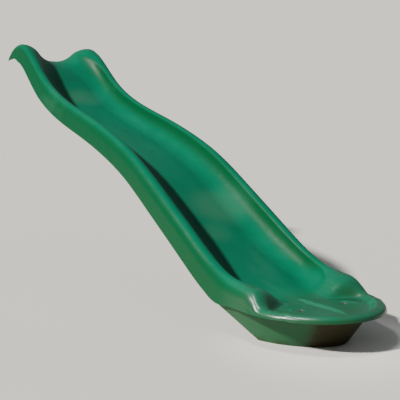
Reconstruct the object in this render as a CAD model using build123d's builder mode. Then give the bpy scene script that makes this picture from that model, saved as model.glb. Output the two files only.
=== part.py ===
"""Moulded wave slide: a one-piece trough chute on a hollow D-shaped foot.

Millimetres. X runs from the deck end (-X) to the exit lip (+X), Y is across the slide, and Z is up.
The origin is on the ground, under the middle of the slide's length and width.
"""

from build123d import *
from math import acos, atan, cos, degrees, hypot, radians, sin, sqrt
import os

os.makedirs("parts", exist_ok=True)

# ---------------------------------------------------------------- overall size
length = 3030.0            # back edge of the entry flange to the tip of the exit lip
back_edge = -length / 2    # X of the back edge; a "run" is a distance forward of it
wall = 6.0                 # thickness of the moulding
deck_top = 1233.0          # underside of the entry flange and of the skirts there, on the deck
seat_run = 23.0            # middle of the flange's flat seat, a plain plate within the moulding
seat_length = 32.0
seat_half_width = 95.0

# ---------------------------------------------------------------- chute, lengthwise
ear_run = 165.0            # run of the highest point of the two ears
ear_top = 1321.0           # height of that point
ear_foot = 1252.0          # height at which the ear rises out of the flange's back edge
entry_bed = deck_top + wall
flat_entry = 40.0          # run at which the bed starts to fall
fall_end = 330.0           # the fall of the bed over the ears is eased towards this run and height
fall_height = 1199.0

# The wave: (run, height of the rail's top, height of the bed's surface on the centre line)
wave = [
    (ear_run, ear_top, 1223.0),
    (300.0, 1286.0, 1172.0),
    (450.0, 1190.0, 1070.0),
    (600.0, 1084.0, 967.0),
    (800.0, 981.0, 872.0),
    (1050.0, 894.0, 789.0),
    (1300.0, 822.0, 716.0),
    (1550.0, 741.0, 632.0),
    (1800.0, 637.0, 524.0),
    (2050.0, 497.0, 380.0),
    (2300.0, 349.0, 240.0),
    (2500.0, 239.0, 156.0),
    (2600.0, 207.0, 131.0),
    (2690.0, 199.0, 124.0),
    (2740.0, 183.0, 121.0),
    (2768.0, 156.0, 120.0),
    (2790.0, 139.0, 120.0),
]

# ---------------------------------------------------------------- chute, crosswise
rail_offset = 225.0        # top of the rail from the centre line
rail_offset_at_lip = 235.0
widening = (2400.0, 2680.0)            # runs between which the skirts spread to the lip's width
skirt_depth = 113.0        # rail's top to the skirt's lower edge, square to the slope
skirt_offset = 264.0       # outer face of the skirt at its lower edge
skirt_leaves_deck = (120.0, 215.0)     # runs between which the skirt's edge leaves the deck's level
skirt_meets_rim = (2440.0, 2640.0)     # and those between which it levels out at the lip's rim
ear_angle = 44.0           # steepest lean of the trough's side wall at the ears,
trough_angle = 64.0        # along the slide,
lip_angle = 50.0           # and where the rails sink into the lip
trough_start = 520.0       # run at which the ears have become rails
least_flat = 6.0           # half width of the bed's flat middle, at least
outer_radius = 36.0        # outer rounding of the ears and rails, as far as there is room for it
outer_share = 0.72         # of the skirt's height that the outer rounding may take, at most
ear_crest = 0.43           # inner rounding of the ears' top, as a share of the whole side's rounding,
rail_crest = 0.17          # of the rails
bump_crest = 0.45          # and of the bumps at the lip
bump_start = 2600.0        # the rails become bumps between these runs
bump_end = 2720.0

# ---------------------------------------------------------------- exit lip
lip_run = 2730.0           # centre of the lip's half ellipse
lip_reach = length - lip_run
lip_half_width = 269.0
lip_back_run = 2790.0      # where the trough ends and the lip's dished tray begins
lip_floor = 120.0          # surface of the lip's floor
rim_low = 114.0            # lower edge of the rolled rim
rim_top = 137.0

rib_length = 230.0         # raised ribs that fan out over the lip
rib_radius = 12.0
rib_sink = 3.5             # the ribs' axes lie this far under the floor's surface
rib_back_run = 2735.0      # where the ribs start
rib_spread = 98.0          # sideways distance between the ribs' starts
rib_angle = 17.0           # turn of each outer rib away from the centre line

# ---------------------------------------------------------------- foot
foot_run = 2645.0          # centre of the foot's rounded front
foot_reach = 256.0         # front of the base, forward of that centre
foot_half_width = 201.0    # of the base
foot_back_run = 2700.0     # back edge of the base
foot_flare = (0.78, 0.485, 1.73)   # growth per mm of height: reach, half width, back edge
foot_roundness = 1.75      # exponent of the plan's superellipse; 2 would be an ellipse
foot_steps = 5             # points of the plan's curve on each side of its tip
flare_top = 105.0          # the walls are upright above this height
foot_wall = 5.0
base_plate = 6.0
ledge_low = 92.0           # ledge inside the foot that takes the fixing bolts
ledge_high = 98.0
ledge_width = 62.0
foot_top = 140.0           # before the top edge is cut to the chute's underside
foot_top_slope = 0.1       # rise of the top edge, backwards
foot_depth = 300.0         # more than the foot's length behind its base
access_inset = 62.0        # hand hole through the base plate, in from the base's outline

# ---------------------------------------------------------------- fixings
boss_radius = 11.0
bolt_inset = 36.0          # front bolts in from the foot's outline at the ledge
front_bolt_angles = (-48.0, -16.0, 16.0, 48.0)   # round the foot's front
rear_bolt_run = 2572.0
rear_bolt_offset = 70.0
rear_boss_top = 134.0      # inside the bed's thickness above the rear bolts
bolt_radius = 3.95         # M8
bolt_play = 0.8            # in the ledge's holes
washer_play = 0.3
insert_radius = 5.5
insert_bore = 4.0
insert_length = 12.0
washer_radius = 12.0
washer_thickness = 1.6
head_width = 13.0          # hexagon, across flats
head_height = 5.5
head_chamfer = 0.8
tip_gap = 1.0              # between the bolt's tip and the insert's closed end

anchor_run = 2820.0        # two ground-anchor sleeves through lip and foot
anchor_offset = 100.0
anchor_bore = 6.5
anchor_play = 1.5
sleeve_radius = 9.0
sleeve_flange_radius = 12.0
sleeve_flange = 2.0
sleeve_seat = lip_floor - 2.5

deck_hole_run = 23.0       # two bushings that take the deck bolts
deck_hole_spacing = 150.0
bushing_bore = 4.5
bushing_radius = 7.0
bushing_flange_radius = 12.0
bushing_flange = 1.5
bushing_seat = entry_bed - 2.0


def x_at(run):
    """X of a run, which is measured forward from the back edge."""
    return back_edge + run


def ease(run, start, end, before, after):
    """A value that changes smoothly from before to after between two runs."""
    t = min(max((run - start) / (end - start), 0.0), 1.0)
    return before + (after - before) * t * t * (3.0 - 2.0 * t)


def superellipse_point(angle, reach, half_width, power):
    """Point of a rounded front, from -90 degrees (right side) over the tip to 90 (left side)."""
    along = reach * abs(cos(radians(angle))) ** (2.0 / power)
    across = half_width * abs(sin(radians(angle))) ** (2.0 / power)
    return along, across if angle > 0.0 else -across


# ---------------------------------------------------------------- chute
def ear_stations():
    """Stations of the ears' rounded backs: a quarter ellipse from the flange up to the ears' top."""
    runs = (0.0, 4.0, 16.0, 40.0, 75.0, 118.0)
    rise = ear_top - ear_foot
    stations = []
    for run in runs:
        behind = (ear_run - run) / ear_run
        top = ear_foot + rise * sqrt(1.0 - behind**2)
        bed = ease(run, flat_entry, fall_end, entry_bed, fall_height)
        stations.append((run, top, bed))
    return stations


def lip_side(inset):
    """Half width of the lip's plan where it meets the trough, in from the rim."""
    along = (lip_back_run - lip_run) / (lip_reach - inset)
    return (lip_half_width - inset) * sqrt(1.0 - along**2)


def slope_at(stations, index):
    """Steepness of the rail's top at a station, from its two neighbours."""
    before = stations[max(index - 1, 0)]
    after = stations[min(index + 1, len(stations) - 1)]
    return (before[1] - after[1]) / (after[0] - before[0])


def skirt_edge(run, top, slope):
    """Height of the skirt's lower edge: the deck, then square below the rail, then the lip's rim."""
    below_rail = top - skirt_depth * hypot(1.0, slope)
    height = ease(run, *skirt_leaves_deck, deck_top, below_rail)
    return ease(run, *skirt_meets_rim, height, rim_low)


def chute_section(run, top, bed, slope):
    """Closed outline of the thin trough wall in the plane across the slide at a run."""
    depth = top - bed
    angle = ease(run, ear_run, trough_start, ear_angle, trough_angle)
    angle = ease(run, bump_start - 40.0, lip_back_run - 10.0, angle, lip_angle)
    offset = ease(run, skirt_meets_rim[1], lip_back_run, rail_offset, rail_offset_at_lip)
    angle = max(angle, 2.0 * degrees(atan(depth / (offset - least_flat))))
    low = skirt_edge(run, top, slope)
    half = ease(run, *widening, skirt_offset, lip_half_width - 2.0)
    half = ease(run, widening[1] + 10.0, lip_back_run, half, lip_side(0.0))
    outer = min(outer_radius, outer_share * (top - low), half - offset - 1.0)
    rounding = depth / (1.0 - cos(radians(angle)))
    crest_share = ease(run, ear_run, trough_start, ear_crest, rail_crest)
    crest_share = ease(run, bump_start, bump_end, crest_share, bump_crest)
    crest = max(rounding * crest_share, wall + 1.5)
    hollow = rounding - crest
    flat = offset - rounding * sin(radians(angle))
    with BuildSketch(Plane(origin=(x_at(run), 0, 0), x_dir=(0, 1, 0), z_dir=(1, 0, 0))) as section:
        with BuildLine():
            bed_line = Line((0, bed), (flat, bed))
            side = JernArc(bed_line @ 1, (1, 0), hollow, angle)
            inner = JernArc(side @ 1, side % 1, crest, -angle)
            outer_arc = JernArc(inner @ 1, inner % 1, outer, -90)
            skirt = Line(outer_arc @ 1, (half, low))
            under_bed = Line((0, bed - wall), (flat, bed - wall))
            under_side = JernArc(under_bed @ 1, (1, 0), hollow + wall, angle)
            under_inner = JernArc(under_side @ 1, under_side % 1, crest - wall, -angle)
            under_outer = JernArc(under_inner @ 1, under_inner % 1, outer - wall, -90)
            skirt_inside = Line(under_outer @ 1, (half - wall, low))
            Line(skirt @ 1, skirt_inside @ 1)
            mirror(about=Plane.YZ)
        make_face()
    return section


def lip_outline(inset, height):
    """Plan of the exit lip at a height: the front of an ellipse, in from the rim, with a straight back."""
    half_turn = degrees(acos((lip_back_run - lip_run) / (lip_reach - inset)))
    with BuildSketch(Plane.XY.offset(height)) as outline:
        with BuildLine():
            front = EllipticalCenterArc(
                center=(x_at(lip_run), 0),
                x_radius=lip_reach - inset,
                y_radius=lip_half_width - inset,
                start_angle=-half_turn,
                arc_size=2.0 * half_turn,
            )
            Line(front @ 1, front @ 0)
        make_face()
    return outline


def foot_outline(inset, height, flare_height=None):
    """Plan of the foot at a height: a rounded front and a straight back, in from its outer wall."""
    flare_height = min(height, flare_top) if flare_height is None else flare_height
    reach = foot_reach + foot_flare[0] * flare_height - inset
    half = foot_half_width + foot_flare[1] * flare_height - inset
    back_run = foot_back_run - foot_flare[2] * flare_height + inset
    # Angle on the rounded front at which the straight back wall cuts it off
    along = (back_run - foot_run) / reach
    cut = 90.0 if along <= 0.0 else degrees(acos(along ** (foot_roundness / 2.0)))
    points = []
    for step in range(-foot_steps, foot_steps + 1):
        ahead, across = superellipse_point(cut * step / foot_steps, reach, half, foot_roundness)
        points.append((x_at(foot_run) + ahead, across))
    rear_x = x_at(back_run)
    with BuildSketch(Plane.XY.offset(height)) as outline:
        with BuildLine():
            Spline(*points)
            left = Line(points[-1], (min(rear_x, points[-1][0] - 1.0), points[-1][1]))
            right = Line(points[0], (min(rear_x, points[0][0] - 1.0), points[0][1]))
            Line(left @ 1, right @ 1)
        make_face()
    return outline


stations = ear_stations() + wave
ledge_reach = foot_reach + foot_flare[0] * ledge_high - bolt_inset
ledge_half = foot_half_width + foot_flare[1] * ledge_high - bolt_inset
front_bolts = []
for bolt_angle in front_bolt_angles:
    bolt_along, bolt_across = superellipse_point(bolt_angle, ledge_reach, ledge_half, foot_roundness)
    front_bolts.append((x_at(foot_run) + bolt_along, bolt_across))
rear_bolts = [(x_at(rear_bolt_run), -rear_bolt_offset), (x_at(rear_bolt_run), rear_bolt_offset)]
anchor_points = [(x_at(anchor_run), -anchor_offset), (x_at(anchor_run), anchor_offset)]
deck_points = [(x_at(deck_hole_run), deck_hole_spacing / 2 * side) for side in (-1, 1)]

with BuildPart() as chute:
    # Exit tray: the rolled rim and its dished floor
    rim_layers = [(2, rim_low), (0, 119), (3, 126), (9, 131.5), (17, 135.5), (27, rim_top)]
    loft([lip_outline(inset, height).sketch for inset, height in rim_layers])
    dish_layers = [(60, lip_floor), (51, 122), (42, 128), (35, 134), (28, rim_top + 1)]
    loft([lip_outline(inset, height).sketch for inset, height in dish_layers], mode=Mode.SUBTRACT)
    # Trough, ears and skirts, butted to the tray
    loft([chute_section(*station, slope_at(stations, index)).sketch for index, station in enumerate(stations)])
    # Ribs that fan out over the lip, each the upper half of a lens sunk in the floor
    for turn in (-1, 0, 1):
        rib_start = (x_at(rib_back_run), turn * rib_spread, lip_floor - rib_sink)
        rib_axis = (cos(radians(rib_angle * turn)), sin(radians(rib_angle * turn)), 0)
        with BuildSketch(Plane(origin=rib_start, x_dir=rib_axis, z_dir=(0, 0, 1))):
            with BuildLine():
                ThreePointArc((0, 0), (rib_length / 2, rib_radius), (rib_length, 0))
                Line((rib_length, 0), (0, 0))
            make_face()
        revolve(axis=Axis(rib_start, rib_axis), revolution_arc=180)
    # Bosses under the lip and the bed that hold the threaded inserts
    with BuildSketch(Plane.XY.offset(ledge_high)):
        with Locations(*front_bolts):
            Circle(boss_radius)
    extrude(amount=lip_floor - wall / 2 - ledge_high)
    with BuildSketch(Plane.XY.offset(ledge_high)):
        with Locations(*rear_bolts):
            Circle(boss_radius)
    extrude(amount=rear_boss_top - ledge_high)
    with BuildSketch(Plane.XY.offset(ledge_high)):
        with Locations(*front_bolts, *rear_bolts):
            Circle(insert_radius)
    extrude(amount=insert_length, mode=Mode.SUBTRACT)
    # Anchor-sleeve holes in the lip, each with a shallow seat for the sleeve's flange
    with BuildSketch(Plane.XY.offset(rim_low - 1)):
        with Locations(*anchor_points):
            Circle(sleeve_radius)
    extrude(amount=wall + 2, mode=Mode.SUBTRACT)
    with BuildSketch(Plane.XY.offset(sleeve_seat)):
        with Locations(*anchor_points):
            Circle(sleeve_flange_radius)
    extrude(amount=rim_top - sleeve_seat, mode=Mode.SUBTRACT)
    # Flat seat of the entry flange: the moulding is cut away there and filled with a plain plate
    with BuildSketch(Plane.XY.offset(deck_top - wall)):
        with Locations((x_at(seat_run), 0)):
            Rectangle(seat_length, 2 * seat_half_width)
    extrude(amount=3 * wall, mode=Mode.SUBTRACT)
    with BuildSketch(Plane.XY.offset(deck_top)):
        with Locations((x_at(seat_run), 0)):
            Rectangle(seat_length, 2 * seat_half_width)
    extrude(amount=wall)
    # Deck bolt holes in the entry flange, each with a seat for a bushing's flange
    with BuildSketch(Plane.XY.offset(deck_top - 1)):
        with Locations(*deck_points):
            Circle(bushing_radius)
    extrude(amount=wall + 2, mode=Mode.SUBTRACT)
    with BuildSketch(Plane.XY.offset(bushing_seat)):
        with Locations(*deck_points):
            Circle(bushing_flange_radius)
    extrude(amount=wall, mode=Mode.SUBTRACT)

with BuildPart() as support_foot:
    # Outer form: flared walls, upright above the flare, sloping back wall
    loft([foot_outline(0, 0).sketch, foot_outline(0, flare_top).sketch], ruled=True)
    extrude(foot_outline(0, flare_top).sketch, amount=foot_top - flare_top)
    # Top edge: level under the lip, rising towards the back under the bed
    with BuildSketch(Plane.XZ):
        with BuildLine():
            Polyline(
                (x_at(length), rim_low),
                (x_at(foot_back_run), rim_low),
                (x_at(foot_back_run - foot_depth), rim_low + foot_depth * foot_top_slope),
                (x_at(foot_back_run - foot_depth), foot_top + foot_depth),
                (x_at(length), foot_top + foot_depth),
                close=True,
            )
        make_face()
    extrude(amount=lip_half_width * 2, both=True, mode=Mode.SUBTRACT)
    # Hollow below the ledge, the ledge's opening, and the hollow above it
    low, high = foot_outline(foot_wall, base_plate), foot_outline(foot_wall, ledge_low)
    loft([low.sketch, high.sketch], ruled=True, mode=Mode.SUBTRACT)
    ledge_opening = foot_outline(ledge_width, ledge_low, ledge_high)
    extrude(ledge_opening.sketch, amount=ledge_high - ledge_low, mode=Mode.SUBTRACT)
    above = foot_outline(foot_wall, ledge_high, ledge_high - 2.0)
    extrude(above.sketch, amount=foot_top, mode=Mode.SUBTRACT)
    # Hand hole, anchor holes and bolt holes
    extrude(foot_outline(access_inset, 0).sketch, amount=base_plate, mode=Mode.SUBTRACT)
    with BuildSketch(Plane.XY):
        with Locations(*anchor_points):
            Circle(anchor_bore + anchor_play)
    extrude(amount=base_plate, mode=Mode.SUBTRACT)
    with BuildSketch(Plane.XY.offset(ledge_low)):
        with Locations(*front_bolts, *rear_bolts):
            Circle(bolt_radius + bolt_play)
    extrude(amount=ledge_high - ledge_low, mode=Mode.SUBTRACT)

with BuildPart() as foot_inserts:
    with BuildSketch(Plane.XY.offset(ledge_high)):
        with Locations(*front_bolts, *rear_bolts):
            Circle(insert_radius)
            Circle(insert_bore, mode=Mode.SUBTRACT)
    extrude(amount=insert_length)

with BuildPart() as foot_washers:
    with BuildSketch(Plane.XY.offset(ledge_low - washer_thickness)):
        with Locations(*front_bolts, *rear_bolts):
            Circle(washer_radius)
            Circle(bolt_radius + washer_play, mode=Mode.SUBTRACT)
    extrude(amount=washer_thickness)

with BuildPart() as foot_bolts:
    head_top = ledge_low - washer_thickness
    with BuildSketch(Plane.XY.offset(head_top - head_height)):
        with Locations(*front_bolts, *rear_bolts):
            RegularPolygon(head_width / 2, 6, major_radius=False)
    extrude(amount=head_height)
    chamfer(foot_bolts.edges().group_by(Axis.Z)[0], head_chamfer)
    with BuildSketch(Plane.XY.offset(head_top)):
        with Locations(*front_bolts, *rear_bolts):
            Circle(bolt_radius)
    extrude(amount=ledge_high + insert_length - tip_gap - head_top)

with BuildPart() as anchor_sleeves:
    with BuildSketch(Plane.XY.offset(base_plate)):
        with Locations(*anchor_points):
            Circle(sleeve_radius)
    extrude(amount=sleeve_seat - base_plate)
    with BuildSketch(Plane.XY.offset(sleeve_seat)):
        with Locations(*anchor_points):
            Circle(sleeve_flange_radius)
    extrude(amount=sleeve_flange)
    with BuildSketch(Plane.XY.offset(base_plate)):
        with Locations(*anchor_points):
            Circle(anchor_bore)
    extrude(amount=rim_top, mode=Mode.SUBTRACT)

with BuildPart() as deck_bushings:
    with BuildSketch(Plane.XY.offset(deck_top)):
        with Locations(*deck_points):
            Circle(bushing_radius)
    extrude(amount=bushing_seat - deck_top)
    with BuildSketch(Plane.XY.offset(bushing_seat)):
        with Locations(*deck_points):
            Circle(bushing_flange_radius)
    extrude(amount=bushing_flange)
    with BuildSketch(Plane.XY.offset(deck_top)):
        with Locations(*deck_points):
            Circle(bushing_bore)
    extrude(amount=wall * 2, mode=Mode.SUBTRACT)

pieces = {
    "chute": chute,
    "support_foot": support_foot,
    "foot_inserts": foot_inserts,
    "foot_washers": foot_washers,
    "foot_bolts": foot_bolts,
    "anchor_sleeves": anchor_sleeves,
    "deck_bushings": deck_bushings,
}
for name, piece in pieces.items():
    piece.part.label = name
    export_step(piece.part, f"parts/{name}.step")
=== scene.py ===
"""Looks for the moulded wave slide: a fine skin and bosses for the chute, and a finish for every piece.

The foot and the fixings keep their CAD shapes. Metres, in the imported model's frame. A "run" is a distance
forward of the slide's back edge.
"""

import math

import bmesh
import bpy
import numpy as np
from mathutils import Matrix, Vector


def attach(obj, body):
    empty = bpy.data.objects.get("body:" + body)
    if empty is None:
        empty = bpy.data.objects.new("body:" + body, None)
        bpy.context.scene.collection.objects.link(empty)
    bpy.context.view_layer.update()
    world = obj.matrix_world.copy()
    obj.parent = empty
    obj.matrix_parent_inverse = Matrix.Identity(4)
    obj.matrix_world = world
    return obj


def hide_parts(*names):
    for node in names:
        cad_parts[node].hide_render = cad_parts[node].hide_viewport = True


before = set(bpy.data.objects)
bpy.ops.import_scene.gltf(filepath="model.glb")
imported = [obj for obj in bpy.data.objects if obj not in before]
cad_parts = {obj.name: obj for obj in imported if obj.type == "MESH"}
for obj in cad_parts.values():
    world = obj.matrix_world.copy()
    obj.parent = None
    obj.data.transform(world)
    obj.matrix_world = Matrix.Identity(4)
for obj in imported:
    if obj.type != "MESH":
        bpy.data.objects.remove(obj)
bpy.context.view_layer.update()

# ---------------------------------------------------------------- camera
CAMERA_PLACE = (3.151, -1.652, 0.713)
CAMERA_HEADING = 31.7      # degrees from -X towards +Y
CAMERA_PITCH = 4.97        # degrees down
CAMERA_LENS = 63.0
CAMERA_SENSOR = 36.0


def make_camera():
    """The photograph's low three-quarter view of the exit end."""
    data = bpy.data.cameras.new("camera")
    data.lens = CAMERA_LENS
    data.sensor_width = CAMERA_SENSOR
    camera = bpy.data.objects.new("camera", data)
    bpy.context.scene.collection.objects.link(camera)
    heading = math.radians(CAMERA_HEADING)
    pitch = math.radians(CAMERA_PITCH)
    level = math.cos(pitch)
    look = Vector((-math.cos(heading) * level, math.sin(heading) * level, -math.sin(pitch)))
    camera.location = CAMERA_PLACE
    camera.rotation_euler = look.to_track_quat("-Z", "Y").to_euler()
    bpy.context.scene.camera = camera


make_camera()

# ---------------------------------------------------------------- sizes
# The places and heights follow the CAD model. The end bumps start 1 to 2 mm higher than its bumps, before
# they are softened, and the side walls have their own form here.
BACK_EDGE = -1.515
WALL = 0.006
DECK_TOP = 1.233
ENTRY_BED = DECK_TOP + WALL
EAR_RUN, EAR_TOP, EAR_FOOT = 0.165, 1.321, 1.252
BED_START = 0.030          # run at which the bed leaves the level of the entry flange
BED_START_SLOPE = -0.17    # the bed's slope where the wave starts

# The wave: (run, height of the rail's top, height of the bed on the centre line)
WAVE = (
    (0.165, 1.321, 1.223),
    (0.300, 1.286, 1.172),
    (0.450, 1.190, 1.070),
    (0.600, 1.084, 0.967),
    (0.800, 0.981, 0.872),
    (1.050, 0.894, 0.789),
    (1.300, 0.822, 0.716),
    (1.550, 0.741, 0.632),
    (1.800, 0.637, 0.524),
    (2.050, 0.497, 0.380),
    (2.300, 0.349, 0.240),
    (2.500, 0.239, 0.156),
    (2.600, 0.207, 0.131),
    (2.690, 0.200, 0.124),
    (2.740, 0.185, 0.121),
    (2.768, 0.158, 0.120),
    (2.790, 0.139, 0.120),
)
RAIL_INSET = 0.039         # top of the rail, in from the skirt's lower edge
RIM_INSET = 0.028          # top of the lip's rim, in from its edge
SKIRT_DEPTH = 0.113
SKIRT_OFFSET = 0.264
LIP_RUN, LIP_REACH, LIP_HALF_WIDTH = 2.730, 0.300, 0.269
TROUGH_END = 2.790         # run at which the rails have sunk into the rim
RIM_LOW, RIM_TOP, LIP_FLOOR = 0.114, 0.137, 0.120
LEAST_FLAT = 0.006         # least half width of the bed's level middle

# Steepest lean of the trough's side wall, in degrees up from the level
EAR_LEAN = 44.0
RAIL_LEAN = 82.0
LIP_LEAN = 46.0
# The wall's upper, outward-curving share of its rounding
EAR_CREST, RAIL_CREST, BUMP_CREST, RIM_CREST = 0.43, 0.17, 0.52, 0.45
# The outer rounding: how far across it reaches, and how far down at the ears and along the rails
OUTER_ACROSS = 0.036
EAR_OUTER_DROP, RAIL_OUTER_DROP = 0.050, 0.060
OUTER_SHARE = 0.85         # most of the skirt's height that the outer rounding takes
LEAST_BAND = 0.001         # least width left between the outer rounding and the edge

# Runs between which the form changes
EARS_TO_RAILS = (EAR_RUN, 0.520)
SKIRT_LEAVES_DECK = (0.120, 0.215)
SKIRT_MEETS_RIM = (2.440, 2.640)
WALL_OPENS = (2.460, 2.680)
WIDENING = (2.400, 2.680)
CREST_GROWS = (2.560, 2.700)
RAIL_TO_RIM = (2.740, 2.810)
TOP_TO_RIM = (2.772, TROUGH_END)

# Steps across half the skin: the flat, the hollow, the crest, the outer rounding and the skirt
FLAT_STEPS, HOLLOW_STEPS, CREST_STEPS, OUTER_STEPS, SKIRT_STEPS = 26, 22, 14, 12, 9
# Steps along the skin: round the ears, down the slide, through the bumps and round the lip
EAR_STEPS, SLIDE_STEP, BUMP_STEP, LIP_STEPS = 26, 0.012, 0.007, 76
SLIDE_STEP_START, BUMP_STEP_START = EAR_RUN + 0.010, 2.400

# The three fanned ribs of the lip: heights, and the runs over which they rise and sink
RIB_WIDTH = 0.0095
MIDDLE_RIB, MIDDLE_RIB_RISES, MIDDLE_RIB_SINKS = 0.0085, (2.660, 2.740), (2.900, 2.985)
OUTER_RIB, OUTER_RIBS_RISE, OUTER_RIBS_SINK = 0.0060, (2.690, 2.770), (2.860, 2.920)
# At a run p past FAN_RUN, the outer ribs are FAN_START + FAN_CURVE p^2 + FAN_FLARE p^4 from the centre line
FAN_RUN, FAN_START, FAN_CURVE, FAN_FLARE = 2.700, 0.112, 0.6, 70.0

# Where the end bumps are softened: (runs, distances from the centre line, rounds)
SOFTENING = (
    ((2.650, 2.792), (0.040, 0.252), 24),
    ((2.620, 2.900), (0.140, 0.262), 8),
)
HEM_WIDTH = 0.0022
HEM_ANGLE = 50.0

ANCHOR_SEAT = 0.0122       # radius of the hole in the floor round each anchor sleeve's flange
ANCHORS = ((2.820, -0.100), (2.820, 0.100))
DECK_SEAT = 0.0122
DECK_HOLES = ((0.023, -0.075), (0.023, 0.075))
BOSS_RADIUS, BOSS_LOW = 0.011, 0.098
BOSS_BORE = 0.0056
BOSS_EDGE, BOSS_FILLET = 0.0012, 0.004


# ---------------------------------------------------------------- small tools
def ease(run, between, before, after):
    """A value that changes smoothly from before to after between two runs."""
    start, end = between
    t = min(max((run - start) / (end - start), 0.0), 1.0)
    return before + (after - before) * t * t * (3.0 - 2.0 * t)


def spline_slopes(xs, ys):
    """Slopes at the knots of the smooth cubic through them, level at the first knot."""
    count = len(xs)
    gaps = np.diff(xs)
    rises = np.diff(ys) / gaps
    matrix = np.zeros((count, count))
    right = np.zeros(count)
    matrix[0, 0] = 1.0
    for i in range(1, count - 1):
        matrix[i, i - 1] = gaps[i]
        matrix[i, i] = 2.0 * (gaps[i - 1] + gaps[i])
        matrix[i, i + 1] = gaps[i - 1]
        right[i] = 3.0 * (rises[i - 1] * gaps[i] + rises[i] * gaps[i - 1])
    matrix[-1, -2], matrix[-1, -1] = 1.0, 2.0
    right[-1] = 3.0 * rises[-1]
    return np.linalg.solve(matrix, right)


class SmoothLine:
    """A smooth curve through (x, y) knots, which also gives its slope."""

    def __init__(self, xs, ys, first_slope=0.0):
        self.xs = np.array(xs)
        self.ys = np.array(ys) - first_slope * self.xs
        self.tilt = first_slope
        self.slopes = spline_slopes(self.xs, self.ys)

    def at(self, x):
        i = int(np.clip(np.searchsorted(self.xs, x) - 1, 0, len(self.xs) - 2))
        gap = self.xs[i + 1] - self.xs[i]
        t = min(max((x - self.xs[i]) / gap, 0.0), 1.0)
        start, end = self.ys[i], self.ys[i + 1]
        lean, next_lean = self.slopes[i] * gap, self.slopes[i + 1] * gap
        bend = 3.0 * (end - start) - 2.0 * lean - next_lean
        twist = 2.0 * (start - end) + lean + next_lean
        height = start + t * (lean + t * (bend + t * twist))
        slope = (lean + t * (2.0 * bend + 3.0 * t * twist)) / gap
        return height + self.tilt * x, slope + self.tilt


RAIL_LINE = SmoothLine([row[0] for row in WAVE], [row[1] for row in WAVE])
BED_LINE = SmoothLine([row[0] for row in WAVE], [row[2] for row in WAVE], first_slope=BED_START_SLOPE)


def finish_mesh(name, vertices, faces):
    """A mesh object from vertices and faces, linked into the scene."""
    mesh = bpy.data.meshes.new(name)
    mesh.from_pydata([tuple(v) for v in vertices], [], faces)
    mesh.validate()
    mesh.update()
    piece = bpy.data.objects.new(name, mesh)
    bpy.context.scene.collection.objects.link(piece)
    return piece


def apply_modifiers(piece):
    """Bakes a piece's modifiers into its mesh and shades it smooth."""
    bpy.context.view_layer.update()
    evaluated = piece.evaluated_get(bpy.context.evaluated_depsgraph_get())
    mesh = bpy.data.meshes.new_from_object(evaluated)
    piece.modifiers.clear()
    piece.data = mesh
    for polygon in mesh.polygons:
        polygon.use_smooth = True


# ---------------------------------------------------------------- the chute's form
def rail_and_bed(run):
    """Heights of the rail's top and of the bed, and the rail's slope, at a run."""
    if run >= EAR_RUN:
        top, slope = RAIL_LINE.at(min(run, TROUGH_END))
        bed = BED_LINE.at(min(run, TROUGH_END))[0]
        rim = ease(run, TOP_TO_RIM, 0.0, 1.0)
        return top + (RIM_TOP - top) * rim, bed + (LIP_FLOOR - bed) * rim, slope
    behind = (EAR_RUN - run) / EAR_RUN
    top = EAR_FOOT + (EAR_TOP - EAR_FOOT) * math.sqrt(max(1.0 - behind**2, 0.0))
    first_bed, first_slope = BED_LINE.at(EAR_RUN)
    t = max(run - BED_START, 0.0) / (EAR_RUN - BED_START)
    drop = first_bed - ENTRY_BED
    lean = first_slope * (EAR_RUN - BED_START)
    bed = ENTRY_BED + t * t * ((3.0 * drop - lean) + t * (lean - 2.0 * drop))
    return top, bed, 0.0


def section(run, reach):
    """Profile of the trough or lip from its middle to the skirt's edge: a list of (distance, height)."""
    top, bed, slope = rail_and_bed(run)
    depth = top - bed
    inset = ease(run, RAIL_TO_RIM, RAIL_INSET, RIM_INSET)
    offset = reach - inset
    # The skirt's lower edge
    low = ease(run, SKIRT_LEAVES_DECK, DECK_TOP, top - SKIRT_DEPTH * math.hypot(1.0, slope))
    low = ease(run, SKIRT_MEETS_RIM, low, RIM_LOW)
    # The wall's lean, at least as steep as the room beside the bed needs
    angle = ease(run, EARS_TO_RAILS, EAR_LEAN, RAIL_LEAN)
    angle = ease(run, WALL_OPENS, angle, LIP_LEAN)
    angle = math.radians(max(angle, 2.0 * math.degrees(math.atan(depth / (offset - LEAST_FLAT)))))
    outer_across = min(OUTER_ACROSS, inset - LEAST_BAND)
    outer_drop = min(ease(run, EARS_TO_RAILS, EAR_OUTER_DROP, RAIL_OUTER_DROP), OUTER_SHARE * (top - low))
    rounding = depth / (1.0 - math.cos(angle))
    crest_share = ease(run, EARS_TO_RAILS, EAR_CREST, RAIL_CREST)
    crest_share = ease(run, CREST_GROWS, crest_share, BUMP_CREST)
    crest_share = ease(run, RAIL_TO_RIM, crest_share, RIM_CREST)
    crest = rounding * crest_share
    hollow = rounding - crest
    flat = offset - rounding * math.sin(angle)
    points = [(flat * t, bed) for t in np.linspace(0.0, 1.0, FLAT_STEPS, endpoint=False)]
    for turn in np.linspace(0.0, angle, HOLLOW_STEPS, endpoint=False):
        points.append((flat + hollow * math.sin(turn), bed + hollow * (1.0 - math.cos(turn))))
    crest_height = top - crest
    for turn in np.linspace(angle, 0.0, CREST_STEPS, endpoint=False):
        points.append((offset - crest * math.sin(turn), crest_height + crest * math.cos(turn)))
    outer_height = top - outer_drop
    for turn in np.linspace(0.0, math.pi / 2.0, OUTER_STEPS, endpoint=False):
        points.append((offset + outer_across * math.sin(turn), outer_height + outer_drop * math.cos(turn)))
    side = offset + outer_across
    for t in np.linspace(0.0, 1.0, SKIRT_STEPS):
        points.append((side + (reach - side) * t, outer_height + (low - outer_height) * t))
    return points


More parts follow.
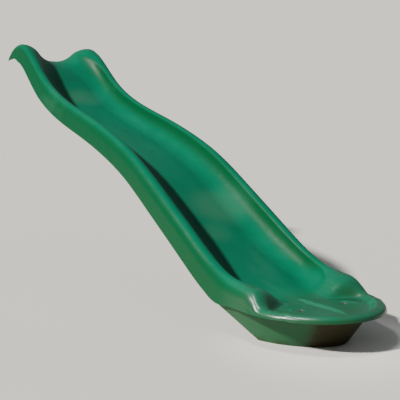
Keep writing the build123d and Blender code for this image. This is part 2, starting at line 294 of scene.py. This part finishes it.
def rib_height(x, y):
    """Height of the three fanned ribs of the lip at a place, given as run and distance across."""
    along = ease(x, MIDDLE_RIB_RISES, 0.0, 1.0) * ease(x, MIDDLE_RIB_SINKS, 1.0, 0.0)
    total = MIDDLE_RIB * math.exp(-((y / RIB_WIDTH) ** 2)) * along
    past = max(x - FAN_RUN, 0.0)
    middle = FAN_START + FAN_CURVE * past**2 + FAN_FLARE * past**4
    slant = 2.0 * FAN_CURVE * past + 4.0 * FAN_FLARE * past**3
    across = (abs(y) - middle) / (RIB_WIDTH * math.hypot(1.0, slant))
    along = ease(x, OUTER_RIBS_RISE, 0.0, 1.0) * ease(x, OUTER_RIBS_SINK, 1.0, 0.0)
    return total + OUTER_RIB * math.exp(-across * across) * along


def chute_rows():
    """Rows of the chute's skin: (origin, direction, reach, run) for each ray from the middle to the edge."""
    runs = [EAR_RUN * (1.0 - math.cos(t)) for t in np.linspace(0.0, math.pi / 2.0, EAR_STEPS)]
    runs += list(np.arange(SLIDE_STEP_START, BUMP_STEP_START, SLIDE_STEP))
    runs += list(np.arange(BUMP_STEP_START, LIP_RUN, BUMP_STEP))
    rows = []
    for run in runs:
        reach = ease(run, WIDENING, SKIRT_OFFSET, LIP_HALF_WIDTH)
        rows.append(((run, 0.0), (0.0, 1.0), reach, run))
    # Round the lip the rays stand square to the rim
    shift = LIP_REACH - LIP_HALF_WIDTH**2 / LIP_REACH
    for turn in np.linspace(math.pi / 2.0, 0.0, LIP_STEPS):
        origin = (LIP_RUN + shift * math.cos(turn), 0.0)
        edge = (LIP_RUN + LIP_REACH * math.cos(turn), LIP_HALF_WIDTH * math.sin(turn))
        reach = math.hypot(edge[0] - origin[0], edge[1])
        direction = ((edge[0] - origin[0]) / reach, edge[1] / reach)
        rows.append((origin, direction, reach, edge[0]))
    return rows


def soften_bumps(shell):
    """Rounds off the two end bumps and the hollows beside them, then blends them lightly into the rim."""
    for runs, across, rounds in SOFTENING:
        low, high = BACK_EDGE + runs[0], BACK_EDGE + runs[1]
        chosen = [
            vertex for vertex in shell.verts
            if low < vertex.co.x < high and across[0] < abs(vertex.co.y) < across[1]
        ]
        for _ in range(rounds):
            bmesh.ops.smooth_vert(
                shell, verts=chosen, factor=0.5, use_axis_x=True, use_axis_y=True, use_axis_z=True
            )


def make_chute():
    """The chute as one thin moulded skin with rounded hems, replacing the CAD solid."""
    vertices = []
    rows = chute_rows()
    for origin, direction, reach, run in rows:
        for distance, height in section(run, reach):
            x = origin[0] + direction[0] * distance
            y = direction[1] * distance
            vertices.append((BACK_EDGE + x, y, height + rib_height(x, y)))
    width = len(vertices) // len(rows)
    count = len(vertices)
    vertices += [(x, -y, z) for x, y, z in vertices]
    faces = []
    for row in range(len(rows) - 1):
        for column in range(width - 1):
            a = row * width + column
            b = a + width
            faces.append((a, b, b + 1, a + 1))
            faces.append((count + a, count + a + 1, count + b + 1, count + b))
    chute = finish_mesh("chute_skin", vertices, faces)
    shell = bmesh.new()
    shell.from_mesh(chute.data)
    bmesh.ops.remove_doubles(shell, verts=shell.verts, dist=0.00002)
    bmesh.ops.recalc_face_normals(shell, faces=shell.faces)
    if sum(face.normal.z * face.calc_area() for face in shell.faces) < 0.0:
        bmesh.ops.reverse_faces(shell, faces=shell.faces)
    soften_bumps(shell)
    shell.to_mesh(chute.data)
    shell.free()
    thick = chute.modifiers.new("thickness", "SOLIDIFY")
    thick.thickness = WALL
    thick.offset = -1.0
    thick.use_even_offset = True
    thick.use_quality_normals = True
    hem = chute.modifiers.new("hem", "BEVEL")
    hem.width = HEM_WIDTH
    hem.segments = 3
    hem.limit_method = "ANGLE"
    hem.angle_limit = math.radians(HEM_ANGLE)
    apply_modifiers(chute)
    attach(chute, "root")
    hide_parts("chute")
    return chute


chute = make_chute()


def cut_holes(piece, places, radius, low, high, segments=48):
    """Cuts round upright holes through a piece."""
    cutter = bmesh.new()
    for run, across in places:
        x = BACK_EDGE + run
        circle = [
            cutter.verts.new((x + radius * math.cos(turn), across + radius * math.sin(turn), low))
            for turn in np.linspace(0.0, 2.0 * math.pi, segments, endpoint=False)
        ]
        base = cutter.faces.new(circle)
        grown = bmesh.ops.extrude_face_region(cutter, geom=[base])
        lifted = [item for item in grown["geom"] if isinstance(item, bmesh.types.BMVert)]
        bmesh.ops.translate(cutter, verts=lifted, vec=(0.0, 0.0, high - low))
    bmesh.ops.recalc_face_normals(cutter, faces=cutter.faces)
    mesh = bpy.data.meshes.new("cutter")
    cutter.to_mesh(mesh)
    cutter.free()
    tool = bpy.data.objects.new("cutter", mesh)
    bpy.context.scene.collection.objects.link(tool)
    cut = piece.modifiers.new("holes", "BOOLEAN")
    cut.operation = "DIFFERENCE"
    cut.solver = "EXACT"
    cut.object = tool
    apply_modifiers(piece)
    bpy.data.objects.remove(tool)


cut_holes(chute, ANCHORS, ANCHOR_SEAT, RIM_LOW - 0.010, RIM_TOP)
cut_holes(chute, DECK_HOLES, DECK_SEAT, DECK_TOP - 0.010, DECK_TOP + 0.020)


def ring_of(profile, places, name, segments=40):
    """Solids of revolution about upright axes at places, from a (radius, height) profile."""
    vertices, faces = [], []
    for x, y in places:
        first = len(vertices)
        for radius, height in profile:
            for turn in np.linspace(0.0, 2.0 * math.pi, segments, endpoint=False):
                vertices.append((x + radius * math.cos(turn), y + radius * math.sin(turn), height))
        for ring in range(len(profile) - 1):
            for k in range(segments):
                low, high = first + ring * segments, first + (ring + 1) * segments
                after = (k + 1) % segments
                faces.append((low + k, low + after, high + after, high + k))
    return finish_mesh(name, vertices, faces)


def make_bosses():
    """Bosses under the lip and the bed round the brass inserts, filleted where they grow out of the wall."""
    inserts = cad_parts["foot_inserts"].data.vertices
    centres = []
    for vertex in inserts:
        place = vertex.co
        near = [c for c in centres if math.hypot(place.x - c[0][0], place.y - c[0][1]) < 3.0 * BOSS_RADIUS]
        if near:
            near[0][1].append((place.x, place.y))
        else:
            centres.append(((place.x, place.y), [(place.x, place.y)]))
    places = []
    for _, cloud in centres:
        xs, ys = [p[0] for p in cloud], [p[1] for p in cloud]
        places.append(((min(xs) + max(xs)) / 2.0, (min(ys) + max(ys)) / 2.0))
    edge = BOSS_EDGE
    profile = [(BOSS_BORE, BOSS_LOW)]
    profile += [(BOSS_RADIUS - edge + edge * math.sin(t), BOSS_LOW + edge - edge * math.cos(t))
                for t in np.linspace(0.0, math.pi / 2.0, 5)]
    fillet = BOSS_FILLET
    top = RIM_LOW + 0.001
    profile += [(BOSS_RADIUS + fillet - fillet * math.cos(t), top - fillet + fillet * math.sin(t))
                for t in np.linspace(0.0, math.pi / 2.0, 6)]
    bosses = ring_of(profile, places, "chute_bosses")
    for polygon in bosses.data.polygons:
        polygon.use_smooth = True
    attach(bosses, "root")
    return bosses


bosses = make_bosses()


# ---------------------------------------------------------------- materials
class Recipe:
    """A node material being built: each method adds one node and returns its output."""

    def __init__(self, name, base, rough, specular=0.5, metallic=0.0):
        self.material = bpy.data.materials.new(name)
        self.material.use_nodes = True
        self.tree = self.material.node_tree
        self.shader = self.tree.nodes["Principled BSDF"]
        self.shader.inputs["Base Color"].default_value = (*base, 1.0)
        self.shader.inputs["Roughness"].default_value = rough
        self.shader.inputs["Specular IOR Level"].default_value = specular
        self.shader.inputs["Metallic"].default_value = metallic
        self.place = self.tree.nodes.new("ShaderNodeTexCoord").outputs["Object"]

    def put(self, socket, value):
        """Links an output to a socket, or sets the socket to a plain value."""
        if isinstance(value, bpy.types.NodeSocket):
            self.tree.links.new(value, socket)
        elif isinstance(value, tuple) and len(value) == 3 and len(socket.default_value) == 4:
            socket.default_value = (*value, 1.0)
        else:
            socket.default_value = value

    def noise(self, scale, detail=3.0, rough=0.5, stretch=(1.0, 1.0, 1.0), shift=(0.0, 0.0, 0.0)):
        mapping = self.tree.nodes.new("ShaderNodeMapping")
        self.put(mapping.inputs["Vector"], self.place)
        mapping.inputs["Scale"].default_value = stretch
        mapping.inputs["Location"].default_value = shift
        node = self.tree.nodes.new("ShaderNodeTexNoise")
        self.put(node.inputs["Vector"], mapping.outputs[0])
        node.inputs["Scale"].default_value = scale
        node.inputs["Detail"].default_value = detail
        node.inputs["Roughness"].default_value = rough
        return node.outputs["Fac"]

    def spread(self, value, low, high, to_low=0.0, to_high=1.0):
        """A smooth step of a value from low to high."""
        node = self.tree.nodes.new("ShaderNodeMapRange")
        node.interpolation_type = "SMOOTHSTEP"
        self.put(node.inputs["Value"], value)
        node.inputs["From Min"].default_value = low
        node.inputs["From Max"].default_value = high
        node.inputs["To Min"].default_value = to_low
        node.inputs["To Max"].default_value = to_high
        return node.outputs["Result"]

    def sum(self, operation, first, second):
        node = self.tree.nodes.new("ShaderNodeMath")
        node.operation = operation
        self.put(node.inputs[0], first)
        self.put(node.inputs[1], second)
        return node.outputs[0]

    def mix(self, factor, first, second):
        node = self.tree.nodes.new("ShaderNodeMix")
        node.data_type = "RGBA"
        self.put(node.inputs["Factor"], factor)
        self.put(node.inputs[6], first)
        self.put(node.inputs[7], second)
        return node.outputs[2]

    def part(self, vector, axis):
        node = self.tree.nodes.new("ShaderNodeSeparateXYZ")
        self.put(node.inputs[0], vector)
        return node.outputs[axis]

    def facing(self, axis):
        """How far the surface faces along an axis."""
        return self.part(self.tree.nodes.new("ShaderNodeNewGeometry").outputs["Normal"], axis)

    def spot(self, centre, radius):
        """1 at a place, falling smoothly to 0 at a radius."""
        node = self.tree.nodes.new("ShaderNodeVectorMath")
        node.operation = "DISTANCE"
        self.put(node.inputs[0], self.place)
        node.inputs[1].default_value = centre
        return self.spread(node.outputs["Value"], radius * 0.25, radius, 1.0, 0.0)

    def bump(self, height, distance, strength=1.0, under=None):
        node = self.tree.nodes.new("ShaderNodeBump")
        self.put(node.inputs["Height"], height)
        node.inputs["Distance"].default_value = distance
        node.inputs["Strength"].default_value = strength
        if under is not None:
            self.put(node.inputs["Normal"], under)
        return node.outputs[0]


GREEN = (0.0003, 0.096, 0.050)
DEEP_GREEN = (0.0002, 0.084, 0.042)
# Painted shade: the darker green that surfaces turned sideways take
SIDE_SHADE_GREEN = (0.0002, 0.050, 0.015)
PALE_GREEN = (0.030, 0.125, 0.075)
# Larger lighter patches on the bed: (centre, radius, weight)
LIGHTER_PATCHES = (
    ((-0.90, 0.02, 0.99), 0.15, 0.55),
    ((0.50, 0.08, 0.42), 0.19, 0.50),
    ((0.66, -0.02, 0.33), 0.10, 0.35),
)
# Dust colour, which on the skirts is partly painted warm bounce light
DUST_AND_BOUNCE = (0.008, 0.044, 0.018)
TRODDEN = (0.004, 0.034, 0.014)
CHUTE_DUST_AND_BOUNCE_LEVEL = 0.8
FOOT_GREEN = (0.003, 0.090, 0.036)
FOOT_DUST = (0.026, 0.082, 0.036)
# Soil colour, which on the foot's front is also painted shade
SOIL_AND_SHADE = (0.021, 0.019, 0.007)
SPLASH_HEIGHT = 0.030
RUBBED = (1.02, 1.20)      # the stretch along x over which the gloss grows towards the lip
BED_GLOSS, LIP_GLOSS = 0.09, 0.42
BRASS, DULL_BRASS = (0.62, 0.44, 0.17), (0.30, 0.20, 0.09)
ZINC, DULL_ZINC = (0.56, 0.57, 0.58), (0.36, 0.37, 0.38)
SLEEVE, DULL_SLEEVE = (0.16, 0.17, 0.16), (0.07, 0.065, 0.05)
MARKS_ROUND = (1, 1, 0.1)  # stretch of the fine marks on upright turned pieces
MARKS_ALONG = (0.1, 1, 1)  # and on plated ones


def moulded_plastic(name, dust_and_bounce_level):
    """Satin moulded polyethylene: mottled green, painted shade on the sideways faces, lighter patches,
    orange peel, scuffs, and dust that thickens to the exit, partly painted warm bounce light on the skirts.
    """
    skin = Recipe(name, GREEN, 0.30, specular=BED_GLOSS)
    x = skin.part(skin.place, 0)
    z_facing = skin.facing(2)
    mottle = skin.noise(5.0, 4.0, 0.6, stretch=(0.6, 1.3, 1.3))
    colour = skin.mix(skin.spread(mottle, 0.35, 0.68), GREEN, DEEP_GREEN)
    # Painted shade: surfaces turned sideways are darker and greener, as if less light fell on them
    colour = skin.mix(skin.spread(z_facing, 0.30, 0.80, 0.9, 0.0), colour, SIDE_SHADE_GREEN)
    chalk = skin.noise(2.3, 5.0, 0.62, stretch=(0.7, 1.5, 1.5), shift=(3.1, 0.7, 1.9))
    colour = skin.mix(skin.sum("MULTIPLY", skin.spread(chalk, 0.56, 0.80), 0.35), colour, PALE_GREEN)
    # The larger lighter patches
    for centre, radius, weight in LIGHTER_PATCHES:
        patchy = skin.sum("MULTIPLY", skin.spot(centre, radius), skin.spread(mottle, 0.2, 0.6, 0.5, 1.0))
        colour = skin.mix(skin.sum("MULTIPLY", patchy, weight), colour, PALE_GREEN)
    # Dust on the skirts and the lip, more towards the ground; on the sideways skirts it is partly painted
    # warm bounce light
    grime = skin.noise(9.0, 6.0, 0.68, shift=(1.3, 5.2, 0.4))
    towards_exit = skin.spread(x, -1.3, 1.35, 0.25, 1.0)
    upright = skin.spread(z_facing, 0.30, 0.75, 0.30, 0.10)
    lip = skin.spread(x, 1.02, 1.32, 0.0, 0.9)
    place = skin.sum("MAXIMUM", upright, lip)
    film = skin.sum("MULTIPLY", place, towards_exit)
    film = skin.sum("MULTIPLY", film, skin.spread(grime, 0.25, 0.70, 0.35, 1.0))
    film = skin.sum("MULTIPLY", film, dust_and_bounce_level)
    colour = skin.mix(film, colour, DUST_AND_BOUNCE)
    # The lip's floor is trodden darker
    trodden = skin.sum("MULTIPLY", skin.spread(z_facing, 0.93, 0.99), skin.spread(x, 1.06, 1.24, 0.0, 0.62))
    trodden = skin.sum("MULTIPLY", trodden, skin.spread(grime, 0.2, 0.7, 0.6, 1.0))
    colour = skin.mix(trodden, colour, TRODDEN)
    skin.put(skin.shader.inputs["Base Color"], colour)
    # Fine scuffs along the bed, seen in the gloss
    scuff = skin.noise(90.0, 4.0, 0.7, stretch=(0.06, 1.0, 1.0))
    rough = skin.sum("ADD", skin.spread(scuff, 0.3, 0.75, 0.29, 0.37), skin.sum("MULTIPLY", film, 0.10))
    # The bumps and the rim are rubbed smoother and shinier
    rough = skin.sum("SUBTRACT", rough, skin.spread(x, *RUBBED, 0.0, 0.06))
    skin.put(skin.shader.inputs["Specular IOR Level"], skin.spread(x, *RUBBED, BED_GLOSS, LIP_GLOSS))
    skin.put(skin.shader.inputs["Roughness"], rough)
    wave = skin.bump(skin.noise(11.0, 2.0, 0.5), 0.0030, 0.55)
    peel = skin.bump(skin.noise(420.0, 2.0, 0.5), 0.00010, 0.45, under=wave)
    skin.put(skin.shader.inputs["Normal"], peel)
    return skin


def foot_plastic():
    """The same plastic, duller and dusty all over, with soil splashed along the lower edge and a dark front
    of soil and painted shade.
    """
    skin = Recipe("foot plastic", GREEN, 0.55, specular=0.15)
    grime = skin.noise(14.0, 6.0, 0.7)
    film = skin.spread(grime, 0.2, 0.75, 0.55, 0.85)
    colour = skin.mix(film, FOOT_GREEN, FOOT_DUST)
    smear = skin.noise(26.0, 4.0, 0.6, shift=(2.0, 1.0, 0.0))
    # Soil and painted shade darken the wall from where it turns to face the front
    turned = skin.sum("ADD", skin.facing(0), skin.sum("MULTIPLY", smear, 0.05))
    soil_and_shade = skin.spread(turned, 0.60, 0.70)
    # Splashes along the foot's lower edge all round
    z = skin.part(skin.place, 2)
    low = skin.spread(z, 0.0, SPLASH_HEIGHT, 1.0, 0.0)
    splash = skin.sum("MULTIPLY", low, skin.spread(smear, 0.35, 0.65, 0.1, 0.6))
    colour = skin.mix(skin.sum("MAXIMUM", soil_and_shade, splash), colour, SOIL_AND_SHADE)
    skin.put(skin.shader.inputs["Base Color"], colour)
    skin.put(skin.shader.inputs["Roughness"], skin.spread(grime, 0.2, 0.8, 0.50, 0.68))
    wave = skin.bump(skin.noise(9.0, 2.0, 0.5), 0.0030, 0.5)
    peel = skin.bump(skin.noise(300.0, 3.0, 0.6), 0.00015, 0.5, under=wave)
    skin.put(skin.shader.inputs["Normal"], peel)
    return skin


def plated_metal(name, base, rough, tarnish, stretch):
    """Turned or plated metal with fine marks and dull blotches."""
    metal = Recipe(name, base, rough, metallic=1.0)
    blotch = metal.noise(160.0, 5.0, 0.65)
    colour = metal.mix(metal.spread(blotch, 0.42, 0.72), base, tarnish)
    metal.put(metal.shader.inputs["Base Color"], colour)
    marks = metal.noise(1500.0, 2.0, 0.5, stretch=stretch)
    worn = metal.sum("ADD", metal.spread(blotch, 0.35, 0.75, rough - 0.08, rough + 0.18),
                     metal.spread(marks, 0.3, 0.7, 0.0, 0.08))
    metal.put(metal.shader.inputs["Roughness"], worn)
    metal.put(metal.shader.inputs["Normal"], metal.bump(marks, 0.00006, 0.4))
    return metal


def paint(piece, recipe):
    piece.data.materials.clear()
    piece.data.materials.append(recipe.material)


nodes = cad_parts
chute_plastic = moulded_plastic("chute plastic", CHUTE_DUST_AND_BOUNCE_LEVEL)
paint(chute, chute_plastic)
paint(bosses, chute_plastic)
paint(nodes["chute"], chute_plastic)
paint(nodes["support_foot"], foot_plastic())
paint(nodes["foot_inserts"], plated_metal("insert brass", BRASS, 0.38, DULL_BRASS, MARKS_ROUND))
zinc = plated_metal("zinc steel", ZINC, 0.34, DULL_ZINC, MARKS_ALONG)
paint(nodes["foot_washers"], zinc)
paint(nodes["foot_bolts"], zinc)
sleeve = plated_metal("sleeve steel", SLEEVE, 0.55, DULL_SLEEVE, MARKS_ROUND)
paint(nodes["anchor_sleeves"], sleeve)
paint(nodes["deck_bushings"], sleeve)


# ---------------------------------------------------------------- stage and light
FLOOR_SIZE, FLOOR_DROP = 30.0, 0.0005
FLOOR_COLOUR = (0.50, 0.48, 0.45)
SKY_COLOUR, SKY_STRENGTH = (0.82, 0.93, 1.0, 1.0), 0.25
BACKDROP_COLOUR = (1.08, 1.02, 0.92, 1.0)
KEY_HEADING, KEY_HEIGHT = -93.0, 38.5
KEY_STRENGTH, KEY_SPREAD = 9.2, 4.0
KEY_COLOUR = (1.0, 0.97, 0.92)
FILL_SPREAD = 50.0
FILL_STRENGTH, FILL_FROM = 1.2, (-0.15, -1.0, 0.03)
BACK_FILL_STRENGTH, BACK_FILL_FROM = 1.6, (-0.45, 1.0, 0.12)
LAMP_PLACE = (1.44, -0.56, 1.30)
LAMP_TARGET = (1.36, -0.08, 0.13)
LAMP_POWER, LAMP_SIZE = 60.0, 0.14
LAMP_SPREAD = 36.0


def make_stage():
    """A plain pale floor, lit only by the lights."""
    mesh = bpy.data.meshes.new("floor")
    size = FLOOR_SIZE
    corners = [(-size, -size, 0), (size, -size, 0), (size, size, 0), (-size, size, 0)]
    mesh.from_pydata(corners, [], [(0, 1, 2, 3)])
    floor = bpy.data.objects.new("floor", mesh)
    bpy.context.scene.collection.objects.link(floor)
    floor.location.z = -FLOOR_DROP
    paint(floor, Recipe("floor", FLOOR_COLOUR, 0.9, specular=0.0))


def make_world():
    """A dim even sky that lights the slide, and for the camera a backdrop as bright as the lit floor."""
    world = bpy.data.worlds.new("studio")
    bpy.context.scene.world = world
    world.use_nodes = True
    tree = world.node_tree
    sky = tree.nodes["Background"]
    sky.inputs[0].default_value = SKY_COLOUR
    sky.inputs[1].default_value = SKY_STRENGTH
    backdrop = tree.nodes.new("ShaderNodeBackground")
    backdrop.inputs[0].default_value = BACKDROP_COLOUR
    path = tree.nodes.new("ShaderNodeLightPath")
    choice = tree.nodes.new("ShaderNodeMixShader")
    tree.links.new(path.outputs["Is Camera Ray"], choice.inputs[0])
    tree.links.new(sky.outputs[0], choice.inputs[1])
    tree.links.new(backdrop.outputs[0], choice.inputs[2])
    tree.links.new(choice.outputs[0], tree.nodes["World Output"].inputs[0])


def add_light(name, kind, strength, towards):
    """A light of a kind that shines from a direction, as its object."""
    data = bpy.data.lights.new(name, kind)
    data.energy = strength
    light = bpy.data.objects.new(name, data)
    bpy.context.scene.collection.objects.link(light)
    light.rotation_euler = towards.to_track_quat("Z", "Y").to_euler()
    return light


def make_lights():
    """A low sun-like key from the near side, two weak broad fills, and a small lamp over the exit lip."""
    # The near fill stands for what pale ground would throw back, and the rails keep the far one out of the
    # trough. Neither shows in reflections.
    for name, strength, towards in (
        ("fill", FILL_STRENGTH, FILL_FROM),
        ("back fill", BACK_FILL_STRENGTH, BACK_FILL_FROM),
    ):
        fill = add_light(name, "SUN", strength, Vector(towards))
        fill.data.angle = math.radians(FILL_SPREAD)
        fill.visible_glossy = False

    # The lamp gives the gloss on the lip's rim and bumps
    lamp = add_light("lamp", "SPOT", LAMP_POWER, Vector(LAMP_PLACE) - Vector(LAMP_TARGET))
    lamp.location = LAMP_PLACE
    lamp.data.shadow_soft_size = LAMP_SIZE
    lamp.data.spot_size = math.radians(LAMP_SPREAD)
    lamp.data.spot_blend = 1.0
    lamp.visible_camera = False

    heading = math.radians(KEY_HEADING)
    height = math.radians(KEY_HEIGHT)
    level = math.cos(height)
    towards = Vector((math.cos(heading) * level, math.sin(heading) * level, math.sin(height)))
    key = add_light("key", "SUN", KEY_STRENGTH, towards)
    key.data.angle = math.radians(KEY_SPREAD)
    key.data.color = KEY_COLOUR


make_stage()
make_world()
make_lights()
